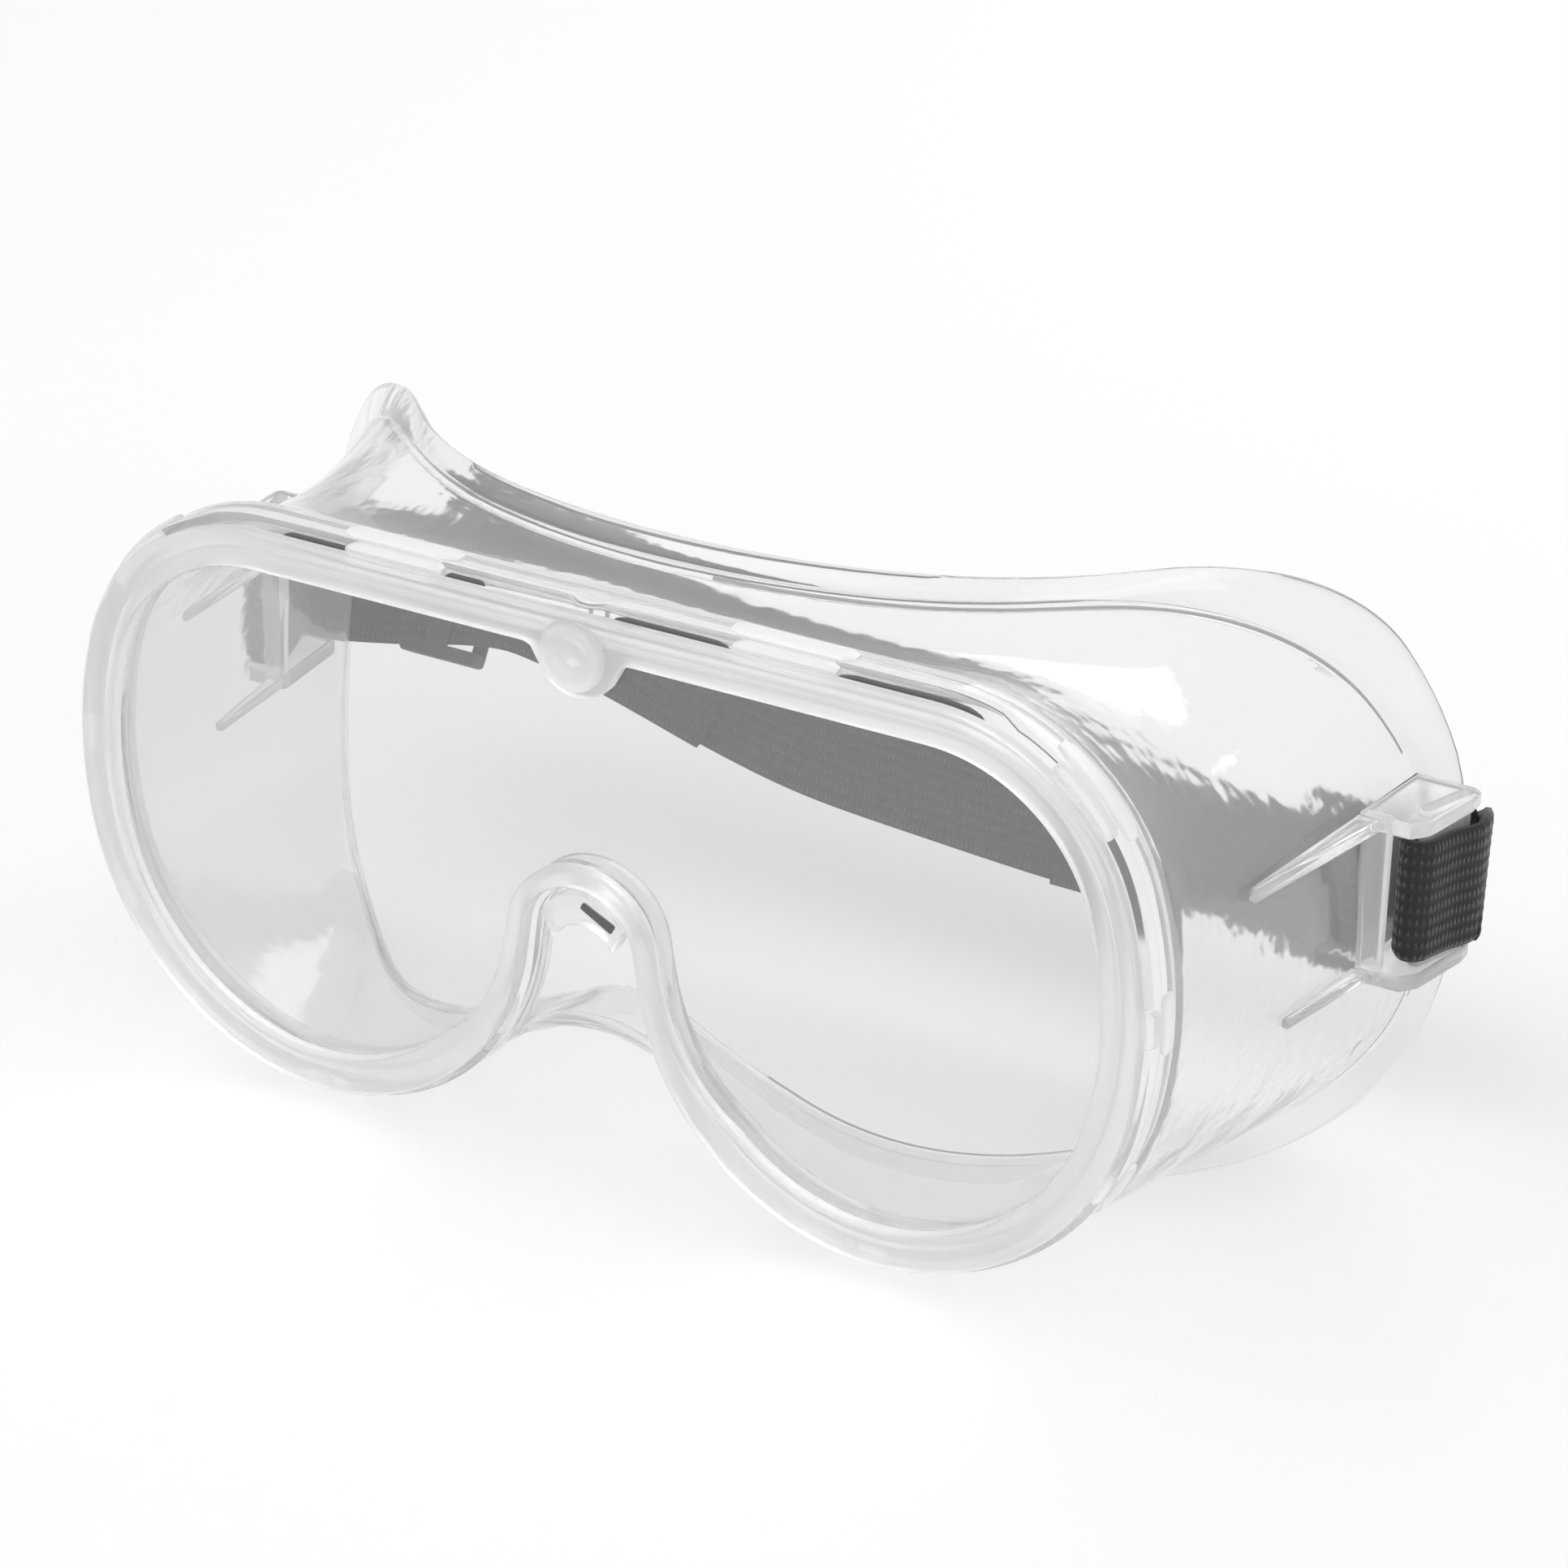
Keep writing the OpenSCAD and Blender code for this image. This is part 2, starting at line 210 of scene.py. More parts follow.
def capped(rings):
    """Rings joined in a row, with the first and the last filled."""
    v, f = rings_to_mesh(rings, section_closed=False)
    n = len(rings[0])
    f.append(list(range(n))[::-1])
    f.append([len(v) - n + i for i in range(n)])
    return v, f


def rounded(poly, r, n=4):
    """A closed polygon with its corners rounded; r is one radius or one for each corner."""
    poly = [np.array(q, float) for q in poly]
    m = len(poly)
    r = r if isinstance(r, (list, tuple)) else [r] * m
    out = []
    for i, q in enumerate(poly):
        a, b = poly[i - 1], poly[(i + 1) % m]
        da, db = (a - q) / np.linalg.norm(a - q), (b - q) / np.linalg.norm(b - q)
        half = math.acos(max(-1, min(1, float(da @ db)))) / 2
        if r[i] < 1e-6 or half > rad(88):
            out.append(q)
            continue
        # no corner takes more than almost half of a side
        t = min(r[i] / math.tan(half), 0.48 * np.linalg.norm(a - q), 0.48 * np.linalg.norm(b - q))
        radius = t * math.tan(half)
        centre = q + norm(da + db) * (radius / math.sin(half))
        first, last = q + da * t - centre, q + db * t - centre
        a0 = math.atan2(first[1], first[0])
        sweep_by = (math.atan2(last[1], last[0]) - a0 + math.pi) % (2 * math.pi) - math.pi
        angles = [a0 + sweep_by * j / n for j in range(n + 1)]
        out += [centre + radius * np.array([math.cos(angle), math.sin(angle)]) for angle in angles]
    return np.array(out)


def sweep(points, normals, section):
    """Rings along a flat path from its points; section holds a list of (offset, y) pairs for each of them."""
    section = np.asarray(section, float)
    flat = points[:, None, :] + section[..., :1] * normals[:, None, :]
    out = np.stack([flat[..., 0], section[..., 1], flat[..., 1]], -1)
    return out.transpose(1, 0, 2)


def shell(grid, thick):
    """A closed skin of that thickness round a grid of points (rows across, columns round the closed way)."""
    along = np.gradient(grid, axis=0)
    around = np.roll(grid, -1, 1) - np.roll(grid, 1, 1)
    n = norm(np.cross(along, around))
    t = np.asarray(thick, float)[:, None, None] / 2
    tip0, tip1 = -norm(along[0]) * t[0] * 0.9, norm(along[-1]) * t[-1] * 0.9
    outer, inner = grid + n * t, grid - n * t
    rings = [grid[0] + tip0] + list(outer) + [grid[-1] + tip1] + list(inner[::-1])
    return rings_to_mesh(rings)


def slab(poly, y0, y1, r=0.3, n=3, axis="y"):
    """A flat plate with rounded edges: poly in (x, z) and thickness along y, or (x, y) and thickness along z."""
    poly = np.asarray(poly, float)
    prev, nxt = np.roll(poly, 1, 0), np.roll(poly, -1, 0)
    e1, e2 = norm(poly - prev), norm(nxt - poly)
    n1, n2 = np.stack([e1[:, 1], -e1[:, 0]], -1), np.stack([e2[:, 1], -e2[:, 0]], -1)
    way_round = 1 if float(np.sum(poly[:, 0] * nxt[:, 1] - nxt[:, 0] * poly[:, 1])) > 0 else -1
    out = norm(n1 + n2) * way_round
    out = out / np.maximum(np.sum(out * n1, -1, keepdims=True) * way_round, 0.5)
    steps = [(-r * (1 - math.sin(rad(90 * j / n))), r * (1 - math.cos(rad(90 * j / n)))) for j in range(n + 1)]
    levels = [(inset, y0 + rise) for inset, rise in steps] + [(inset, y1 - rise) for inset, rise in steps[::-1]]
    rings = []
    for inset, h in levels:
        q = poly + out * inset
        rings.append(np.stack([q[:, 0], np.full(len(q), h), q[:, 1]] if axis == "y"
                              else [q[:, 0], q[:, 1], np.full(len(q), h)], -1))
    return capped(rings)


def joined(parts):
    """Several (vertices, faces) pairs as one."""
    verts, faces, base = [], [], 0
    for v, f in parts:
        verts.append(np.asarray(v, float))
        faces += [[i + base for i in q] for q in f]
        base += len(v)
    return np.concatenate(verts), faces


def mirror(part):
    """The same on the other side of the middle."""
    v, f = part
    return np.asarray(v) * np.array([-1, 1, 1]), [list(q)[::-1] for q in f]


# ---------------------------------------------------------------- materials
def new_mat(name):
    """A material with an empty node tree, and its output node."""
    m = bpy.data.materials.new(name)
    m.use_nodes = True
    nt = m.node_tree
    nt.nodes.clear()
    out = nt.nodes.new("ShaderNodeOutputMaterial")
    return m, nt, out


def node(nt, kind, **values):
    """A new node; a value sets the node's property of that name, or else the default of that socket."""
    n = nt.nodes.new(kind)
    for k, v in values.items():
        if hasattr(n, k):
            setattr(n, k, v)
        else:
            n.inputs[k.replace("_", " ")].default_value = v
    return n


def ramp(nt, fac, stops):
    """A colour ramp; a stop is a position with a grey or a colour."""
    r = nt.nodes.new("ShaderNodeValToRGB")
    e = r.color_ramp.elements
    while len(e) < len(stops):
        e.new(0.5)
    for el, (pos, v) in zip(e, stops):
        el.position = pos
        el.color = (v, v, v, 1) if isinstance(v, (int, float)) else (*v, 1)
    nt.links.new(fac, r.inputs[0])
    return r.outputs[0]


PLASTIC_IOR = 1.45


def clear_plastic(name, tint, rough, milk, bump=0.0, bump_scale=120.0):
    """A refracting plastic; milk is the part of it that is opaque."""
    m, nt, out = new_mat(name)
    coords = node(nt, "ShaderNodeTexCoord")
    shader = node(nt, "ShaderNodeBsdfPrincipled")
    shader.inputs["Base Color"].default_value = (*tint, 1)
    shader.inputs["Roughness"].default_value = rough
    shader.inputs["IOR"].default_value = PLASTIC_IOR
    shader.inputs["Transmission Weight"].default_value = 1 - milk
    if bump:
        noise = node(nt, "ShaderNodeTexNoise", Scale=bump_scale, Detail=3.0, Roughness=0.5)
        nt.links.new(coords.outputs["Object"], noise.inputs["Vector"])
        bump_node = node(nt, "ShaderNodeBump", Strength=bump, Distance=0.001)
        nt.links.new(noise.outputs["Fac"], bump_node.inputs["Height"])
        nt.links.new(bump_node.outputs[0], shader.inputs["Normal"])
    nt.links.new(shader.outputs[0], out.inputs["Surface"])
    return m


def elastic_cloth(name):
    """Black ribbed elastic. U runs along the strap and V across it, both in metres."""
    m, nt, out = new_mat(name)
    uv = node(nt, "ShaderNodeUVMap", uv_map="UVMap")
    shader = node(nt, "ShaderNodeBsdfPrincipled")
    shader.inputs["Roughness"].default_value = 0.755
    shader.inputs["Sheen Weight"].default_value = 0.25
    shader.inputs["Sheen Roughness"].default_value = 0.4
    ribs = node(nt, "ShaderNodeTexWave", wave_type="BANDS", bands_direction="Y", Scale=175.0, Distortion=0.3,
                Detail=1.0)
    ribs.inputs["Detail Scale"].default_value = 3.0
    loops = node(nt, "ShaderNodeTexWave", wave_type="BANDS", bands_direction="X", Scale=420.0, Distortion=1.6,
                 Detail=2.0)
    fuzz = node(nt, "ShaderNodeTexNoise", Scale=2600.0, Detail=4.0, Roughness=0.7)
    for t in (ribs, loops, fuzz):
        nt.links.new(uv.outputs[0], t.inputs["Vector"])
    bright = node(nt, "ShaderNodeMath", operation="MULTIPLY")
    nt.links.new(ramp(nt, ribs.outputs["Fac"], [(0.3, 0.15), (0.95, 1.0)]), bright.inputs[0])
    nt.links.new(ramp(nt, loops.outputs["Fac"], [(0.45, 0.0), (0.9, 1.0)]), bright.inputs[1])
    speck = node(nt, "ShaderNodeMath", operation="MULTIPLY")
    nt.links.new(bright.outputs[0], speck.inputs[0])
    nt.links.new(ramp(nt, fuzz.outputs["Fac"], [(0.35, 0.25), (0.7, 1.0)]), speck.inputs[1])
    nt.links.new(ramp(nt, speck.outputs[0], [(0.0, (0.010, 0.010, 0.011)), (0.5, (0.026, 0.026, 0.028)),
                                            (1.0, (0.15, 0.15, 0.155))]), shader.inputs["Base Color"])
    height = node(nt, "ShaderNodeMath", operation="ADD")
    nt.links.new(ribs.outputs["Fac"], height.inputs[0])
    nt.links.new(bright.outputs[0], height.inputs[1])
    bump_node = node(nt, "ShaderNodeBump", Strength=0.8, Distance=0.0002)
    nt.links.new(height.outputs[0], bump_node.inputs["Height"])
    nt.links.new(bump_node.outputs[0], shader.inputs["Normal"])
    nt.links.new(shader.outputs[0], out.inputs["Surface"])
    return m


def black_plastic(name):
    """The buckles' moulded plastic, with a fine grain."""
    m, nt, out = new_mat(name)
    coords = node(nt, "ShaderNodeTexCoord")
    noise = node(nt, "ShaderNodeTexNoise", Scale=900.0, Detail=3.0)
    nt.links.new(coords.outputs["Object"], noise.inputs["Vector"])
    shader = node(nt, "ShaderNodeBsdfPrincipled")
    shader.inputs["Base Color"].default_value = (0.02, 0.02, 0.022, 1)
    nt.links.new(ramp(nt, noise.outputs["Fac"], [(0.3, 0.38), (0.7, 0.52)]), shader.inputs["Roughness"])
    bump_node = node(nt, "ShaderNodeBump", Strength=0.25, Distance=0.0002)
    nt.links.new(noise.outputs["Fac"], bump_node.inputs["Height"])
    nt.links.new(bump_node.outputs[0], shader.inputs["Normal"])
    nt.links.new(shader.outputs[0], out.inputs["Surface"])
    return m


# tint, roughness and milk of each plastic, matched to the photograph's tones
PVC = clear_plastic("clear_pvc", (0.94, 0.943, 0.948), 0.07, 0.16, bump=0.30, bump_scale=75.0)
RIM_PVC = clear_plastic("rim_pvc", (0.985, 0.985, 0.99), 0.10, 0.14)
FROST = clear_plastic("frosted_pvc", (0.985, 0.985, 0.99), 0.28, 0.24, bump=0.05, bump_scale=160.0)
TAB = clear_plastic("tab_pvc", (0.99, 0.99, 0.99), 0.25, 0.55)
BRACKET = clear_plastic("bracket_pvc", (0.96, 0.96, 0.965), 0.16, 0.20)
LENS = clear_plastic("clear_lens", (0.875, 0.88, 0.88), 0.0, 0.09)
# painted shade: an opaque dark grey for the strips in the open slots and for the latch's window
PAINTED_SHADE = clear_plastic("slot_shade", (0.10, 0.10, 0.105), 0.5, 1.0)
# painted shade: a mid grey for the tube along the fold, where the fold shows dark
FOLD_SHADE = clear_plastic("painted_fold_shade", (0.45, 0.45, 0.46), 0.2, 0.6)
STRAP = elastic_cloth("elastic_strap")
BUCKLE = black_plastic("buckle_plastic")

# ---------------------------------------------------------------- rim: lip, groove, lens slot and outer band
STUD_Z = 35.3
LIP_WIDTH = 6.8
# the lip widens round the stud in a boss, with a fillet on each side
BOSS_R, BOSS_Z, BOSS_FILLET = 6.3, STUD_Z - 0.2, 2.4


def lip_inner(points, normals):
    """Offset of the lip's inner edge from the rim's outline."""
    base = np.full(len(points), -LIP_WIDTH)
    on_top = (normals[:, 1] > 0.999) & (points[:, 1] > 30)
    x = np.abs(points[:, 0])
    top = RIM.corner_z + RIM.corner_r
    # the fillet's circle touches the lip's straight edge and the boss's circle
    fillet_z = top - LIP_WIDTH - BOSS_FILLET
    fillet_x = math.sqrt((BOSS_R + BOSS_FILLET) ** 2 - (BOSS_Z - fillet_z) ** 2)
    touch_x = fillet_x * BOSS_R / (BOSS_R + BOSS_FILLET)
    for i in np.nonzero(on_top)[0]:
        if x[i] < touch_x:
            base[i] = BOSS_Z - math.sqrt(BOSS_R ** 2 - x[i] ** 2) - top
        elif x[i] < fillet_x:
            base[i] = fillet_z + math.sqrt(max(BOSS_FILLET ** 2 - (x[i] - fillet_x) ** 2, 0)) - top
    return base


# The rim is slimmer over the nose: SLIM is the factor on every offset from its outline. The rim's top is also near
# the middle in X, so it is put out of reach.
OUT_OF_REACH = 200
from_nose = np.hypot(RIM_P[:, 0], np.minimum(RIM_P[:, 1] + 4, 0) * 0.8) + OUT_OF_REACH * (RIM_P[:, 1] > 10)
SLIM = 1 - 0.47 * np.clip((31 - from_nose) / 22, 0, 1) ** 0.8
lip_sections = [rounded([(off, 0.05), (-1.2 * slim, 0.0), (-1.35 * slim, 2.2), (-3.3 * slim, 2.25), (off, 2.2)],
                        [0.4, 0.45, 0.3, 0.0, 0.3], 3)
                for off, slim in zip(lip_inner(RIM_P, RIM_N) * SLIM, SLIM)]
lip = build("visual_front_lip", *rings_to_mesh(sweep(RIM_P, RIM_N, lip_sections)), "mask", "frosted_pvc", FROST, 50)
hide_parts("front_lip")


def distances(points):
    """Distance along a path from its start to each point."""
    return np.concatenate([[0], np.cumsum(np.linalg.norm(np.diff(points, axis=0), axis=1))])


ARC = distances(np.concatenate([RIM_P, RIM_P[:1]]))
LOOP = float(ARC[-1])


def rim_distance(x, z):
    """Distance round the rim to the point of its outline nearest to that place."""
    return ARC[int(np.argmin(np.sum((RIM_P - np.array([x, z])) ** 2, 1)))]


# the groove behind the lip is a deep slot between these places and their mirror images, and else a shallow line
SLOT_FROM, SLOT_TO = (2, 42), (62, 40.5)
GROOVE_Y, SLOT_DEPTH = 2.45, 1.4


def slot_depth(s):
    """1 in the deep slots and 0 where the groove is only a shallow line."""
    depth = np.zeros(len(s))
    s0, s1 = rim_distance(*SLOT_FROM), rim_distance(*SLOT_TO)
    for a0, a1 in ((s0, s1), (LOOP - s1, LOOP - s0)):
        depth = np.maximum(depth, np.clip(np.minimum(s - a0, a1 - s) / 2.5 + 0.5, 0, 1))
    return depth * depth * (3 - 2 * depth)


bands = []
for open_here, slim in zip(slot_depth(ARC[:-1]), SLIM):
    y = GROOVE_Y + SLOT_DEPTH * open_here
    section = np.array([(-2.6, 2.2), (-2.6, y - 0.02), (-0.15, y), (0.0, 8.3), (-2.2, 8.4), (-4.2, 7.6),
                        (-6.4, 7.0), (-6.3, 4.7), (-4.3, 4.6), (-4.3, 2.2)]) * np.array([slim, 1])
    bands.append(rounded(section, [0.1, 0.12, 0.5, 0.5, 0.6, 0.6, 0.6, 0.5, 0.2, 0.15], 3))
rim = build("visual_rim_channel", *rings_to_mesh(sweep(RIM_P, RIM_N, bands)), "mask", "clear_pvc", RIM_PVC, 50)
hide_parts("rim_channel")


# ---------------------------------------------------------------- bars across the groove, with their pads
def rim_at(s):
    """Point and normal of the rim's outline at the distance s round it."""
    s = np.mod(np.asarray(s, float), LOOP)
    points, normals = (np.stack([np.interp(s, ARC, np.append(values[:, k], values[0, k])) for k in (0, 1)], -1)
                       for values in (RIM_P, RIM_N))
    return points, norm(normals)


def bar_on_rim(x, z, length, section, taper=0.7, n=14):
    """A bar along the rim at that place; its ends shrink over the length of the taper."""
    t = np.linspace(-1, 1, n)
    p, normals = rim_at(rim_distance(x, z) + t * length / 2)
    mid = section.mean(0)
    shrink = np.clip((1 - np.abs(t)) * length / 2 / taper, 0, 1) ** 0.5 * 0.45 + 0.55
    sections = mid + (section[None] - mid) * shrink[:, None, None]
    return rings_to_mesh(sweep(p, normals, sections), around_closed=False)


# x, z and length of each bar, which has a twin on the other side
TABS = [(30.2, 41, 15.5), (73.6, 32.5, 12), (83, 2, 5.5), (78.4, -22.5, 5), (44, -42.5, 8)]
tab_section = rounded([(-2.75, 1.7), (-0.75, 1.7), (-0.35, 2.6), (-0.3, 4.1), (-2.75, 4.1)], 0.3, 3)
pad_section = rounded([(-0.3, 3.9), (0.55, 4.2), (0.6, 6.6), (-0.3, 7.4)], 0.3, 3)
bars, pads = [], []
for x, z, length in TABS:
    for side in (1, -1):
        bars.append(bar_on_rim(side * x, z, length, tab_section))
        pads.append(bar_on_rim(side * x, z, length + 3, pad_section, 1.4))
tabs = build("visual_rim_tabs", *joined(bars), "mask", "frosted_pvc", TAB, 30)
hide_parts("rim_tabs")
pad = build("visual_tab_pockets", *joined(pads), "mask", "clear_pvc", TAB, 30)
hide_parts("tab_pockets")

# painted shade: dark opaque strips laid deep in the open slots, between the bars, stand for the shade there
SHADES = [((3.5, 42), (22, 42)), ((38.6, 42), (60, 41)), ((-22, 42), (-15.5, 42)), ((-47.5, 42), (-38.6, 42))]
shade_section = rounded([(-2.5, 2.32), (-1.15, 2.32), (-1.15, 3.2), (-2.5, 3.6)], 0.15, 2)
shade_mid = np.array([-2.3, 2.9])
shades = []
for ends in SHADES:
    s0, s1 = sorted(rim_distance(*end) for end in ends)
    t = np.linspace(0, 1, 24)
    p, normals = rim_at(s0 + (s1 - s0) * t)
    fade = np.clip(np.minimum(t, 1 - t) / 0.12, 0, 1)[:, None, None] ** 0.5 * 0.8 + 0.2
    sections = shade_mid + (shade_section[None] - shade_mid) * fade
    shades.append(rings_to_mesh(sweep(p, normals, sections), around_closed=False))
build("visual_slot_shade", *joined(shades), "mask", "clear_pvc", PAINTED_SHADE, 45)

# ---------------------------------------------------------------- lens
LENS_FRONT, LENS_T, LENS_INSET = 2.35, 2.0, 4.45
# over the nose the lens follows the slimmer rim
lens_poly = RIM_P - LENS_INSET * (1.15 * SLIM - 0.15)[:, None] * RIM_N
lens = build("visual_lens", *slab(lens_poly, LENS_FRONT, LENS_FRONT + LENS_T, 0.25), "mask", "clear_lens", LENS, 40)
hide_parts("lens")


# ---------------------------------------------------------------- stud at the brow: a low button with a rolled rim
def lathe(profile, centre, n=48):
    """profile is (radius, y) pairs; the first and last close on the axis. The axis runs along Y."""
    a = np.linspace(0, 2 * math.pi, n, endpoint=False)
    rings = []
    for r, y in profile:
        rings.append(np.stack([centre[0] + r * np.cos(a), np.full(n, y), centre[1] + r * np.sin(a)], -1))
    return capped(rings)


stud_profile = [(1.6, 4.5), (1.6, 0.2), (4.7, 0.02), (5.0, -0.35), (4.95, -0.95), (4.6, -1.35), (4.1, -1.55),
                (3.6, -1.5), (3.2, -1.15), (2.7, -1.0), (1.3, -0.95), (0.3, -0.95)]
stud = build("visual_lens_stud", *lathe(stud_profile, (0, STUD_Z)), "mask", "frosted_pvc", FROST, 50)
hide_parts("lens_stud")

# the round marks of the mould's pins on the lip
pins = [lathe([(1.25, 0.3), (1.25, -0.03), (1.1, -0.09), (0.95, -0.03), (0.4, -0.03)], centre, 24)
        for centre in ((42.9, -40.7), (-42.9, -40.7))]
build("visual_pin_marks", *joined(pins), "mask", "frosted_pvc", FROST, 40)

# ---------------------------------------------------------------- skirt and flange: one soft skin
# rows of the skin's grid on the wall, round the fold and out to the edge
WALL_ROWS, BEND_ROWS, EDGE_ROWS = 16, 7, 7
# the wall's deepest hollow, and how far the edge curls
HOLLOW, EDGE_CURL = 4.6, 0.54


def flat_3d(points, y):
    """Points given as (x, z), at that y."""
    return np.stack([points[:, 0], np.full(len(points), y), points[:, 1]], -1)


def on_face(points, deeper=0.0):
    """Points given as (x, z), on the face or that much behind it."""
    return np.stack([points[:, 0], face_y(points, deeper), points[:, 1]], -1)


start = flat_3d(SKIRT_P, 7.6) - 1.3 * flat_3d(SKIRT_N, 0)
fold = on_face(CREASE_P - 1.0 * CREASE_N)
edge_2d = EDGE_P - 0.4 * EDGE_N
edge = on_face(edge_2d, 2.7)
# the soft flange is a little out of true at the corner by the wearer's right temple
turn = np.degrees(np.arctan2(edge_2d[:, 1] - EDGE.corner_z, np.abs(edge_2d[:, 0]) - EDGE.corner_x))
soft = (edge_2d[:, 0] < 0) * np.clip((edge_2d[:, 1] + 10) / 25, 0, 1)
edge[:, 0] += soft * (1.4 * np.exp(-((turn - 84) / 30) ** 2) - 3.4 * np.exp(-((turn + 4) / 30) ** 2))
edge[:, 2] -= soft * 2.3 * np.exp(-((turn - 60) / 34) ** 2) * (np.abs(edge_2d[:, 0]) > 30)
# the skirt's walls are hollowed between the rim and the fold, most at the upper corners, not beside the brackets
away = np.clip((np.abs(SKIRT_P[:, 1]) - 13) / 14, 0, 1)
hollow = (SKIRT_P[:, 1] > 0) * away * (0.45 + 0.55 * np.clip(np.abs(SKIRT_P[:, 0]) / 60, 0, 1))
inward = -flat_3d(SKIRT_N, 0) * hollow[:, None] * HOLLOW
bend_from, bend_to = fold + norm(start - fold) * 1.3, fold + norm(edge - fold) * 0.9
grid = []
for t in np.linspace(0, 1, WALL_ROWS):
    grid.append(start + (bend_from - start) * t + inward * 4 * t * (1 - t))
for t in np.linspace(0, 1, BEND_ROWS + 1)[1:]:
    grid.append(bend_from * (1 - t) ** 2 + 2 * fold * t * (1 - t) + bend_to * t * t)
for t in np.linspace(0, 1, EDGE_ROWS + 1)[1:]:
    grid.append(bend_to + (edge - bend_to) * t - np.array([0, EDGE_CURL * 4 * t * (1 - t), 0]))
grid = np.array(grid)
thick = np.concatenate([np.full(WALL_ROWS, 2.0), np.linspace(2.0, 1.7, BEND_ROWS), np.linspace(1.6, 1.1, EDGE_ROWS)])
skirt = build("visual_skirt", *shell(grid, thick), "mask", "clear_pvc", PVC, 60)
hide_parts("skirt", "face_flange")

# painted shade: a thin grey tube along the fold, which shows dark at the wearer's left side and round the cheek
FOLD_ROW = WALL_ROWS + 2
across_fold = np.gradient(grid, axis=0)[FOLD_ROW]
along_fold = np.roll(grid[FOLD_ROW], -1, 0) - np.roll(grid[FOLD_ROW], 1, 0)
line = grid[FOLD_ROW] + norm(np.cross(across_fold, along_fold)) * 0.9
tube = [line + 0.22 * np.array([0, math.cos(angle), math.sin(angle)])
        for angle in np.linspace(0, 2 * math.pi, 8, endpoint=False)]
# it stops beside the bracket, so it comes in stretches
stretches = [[]]
for i in range(8, HALF - 30):
    if abs(line[i, 2]) > 12.5 or abs(line[i, 0]) < 80:
        stretches[-1].append(i)
    elif stretches[-1]:
        stretches.append([])
fold_shades = [rings_to_mesh([ring[stretch] for ring in tube], around_closed=False)
         for stretch in stretches if len(stretch) > 3]
build("visual_fold_shade", *joined(fold_shades), "mask", "clear_pvc", FOLD_SHADE, 60)

# ---------------------------------------------------------------- membrane under the nose arch
# the membrane reaches this far down the lobe's arc
LOBE_FROM = TOP_N + sum(ARC_N[:3]) + int(ARC_N[3] * 0.62)
WEB_HALF = 0.9


def arch_path(points, first, n=60):
    """The part of an outline under the nose, from one lobe to the other, evenly spaced."""
    part = points[first: COUNT - first + 1]
    s = distances(part)
    t = np.linspace(0, s[-1], n)
    return np.stack([np.interp(t, s, part[:, k]) for k in (0, 1)], -1)


upper = arch_path(RIM_P - 0.6 * RIM_N, LOBE_FROM)
lower = arch_path(SKIRT_P - 0.2 * SKIRT_N, LEG_START)
web = [flat_3d(upper + (lower - upper) * t, 5.6 + 2.0 * t ** 1.5) for t in np.linspace(0, 1, 10)]
half_web = np.array([0, WEB_HALF, 0])
web_rings = [q - half_web for q in web] + [q + half_web for q in web[::-1]]
nose_web = build("visual_nose_web", *rings_to_mesh(web_rings, around_closed=False), "mask", "clear_pvc", PVC, 40)
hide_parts("nose_web")

# ---------------------------------------------------------------- crescent latch under the arch, with painted shade in its window
arch_z = arc_centres(RIM)[4]


def latch_arc(radius, rise):
    """An arc of the crescent about a centre that far above the arch's."""
    angles = np.linspace(rad(28), rad(152), 26)
    return np.stack([radius * np.cos(angles), arch_z + rise + radius * np.sin(angles)], -1)


crescent = np.concatenate([latch_arc(7.4, 0), latch_arc(5.3, -2.6)[::-1]])
latch = build("visual_nose_latch", *slab(crescent, 0.9, 4.2, 0.35), "mask", "frosted_pvc", FROST, 40)
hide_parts("nose_latch")
# painted shade: a dark slab inside the crescent, where its window shows dark
middle, along = np.array([2.6, arch_z + 4.9]), unit(-27)
across = np.array([-along[1], along[0]])
window = rounded([middle + along * 2.9 - across * 0.75, middle + along * 2.9 + across * 0.75,
                  middle - along * 2.7 + across * 0.55, middle - along * 2.7 - across * 0.55], 0.3, 3)
build("visual_latch_window_shade", *slab(window, 0.7, 1.3, 0.15, 2), "mask", "clear_pvc", PAINTED_SHADE, 45)

# ---------------------------------------------------------------- brackets and ribs
BRACKET_Y = 54.0
PLATES_Z, PLATE_T = (-12.3, 10.6), 2.3
# the bars reach into both plates
BARS_Z = (-11.9, 12.4)
# the ends of the wide bar's middle line, as (x, y)
BAR_FRONT, BAR_BACK = np.array([95.4, 59.6]), np.array([98.4, 68.6])
BAR_ALONG = norm(BAR_BACK - BAR_FRONT)
BAR_OUT = np.array([BAR_ALONG[1], -BAR_ALONG[0]])


def bracket_parts():
    """Two plates, with the front bar and the wide bar between them."""
    plate = rounded([(88.4, BRACKET_Y + 0.9), (89.4, BRACKET_Y), (96.2, BRACKET_Y), (98.2, BRACKET_Y + 2.4),
                     (100.1, 66.3), (100.0, 69.0), (98.9, 69.8), (90, 69.8)],
                    [0.5, 0.8, 1.2, 2.0, 1.5, 0.8, 0.8, 0.3], 4)
    parts = [slab(plate, z, z + PLATE_T, 0.6, 4, "z") for z in PLATES_Z]
    front_bar = rounded([(88.8, BRACKET_Y + 0.8), (89.6, BRACKET_Y), (92.7, BRACKET_Y), (93.2, BRACKET_Y + 1.7),
                         (92.5, BRACKET_Y + 2.3), (89.0, BRACKET_Y + 2.2)], 0.5, 4)
    parts.append(slab(front_bar, *BARS_Z, 0.3, 3, "z"))
    wide_bar = rounded([BAR_FRONT + BAR_OUT, BAR_BACK + BAR_OUT, BAR_BACK - BAR_OUT, BAR_FRONT - BAR_OUT], 0.95, 5)
    parts.append(slab(wide_bar, *BARS_Z, 0.1, 2, "z"))
    return parts


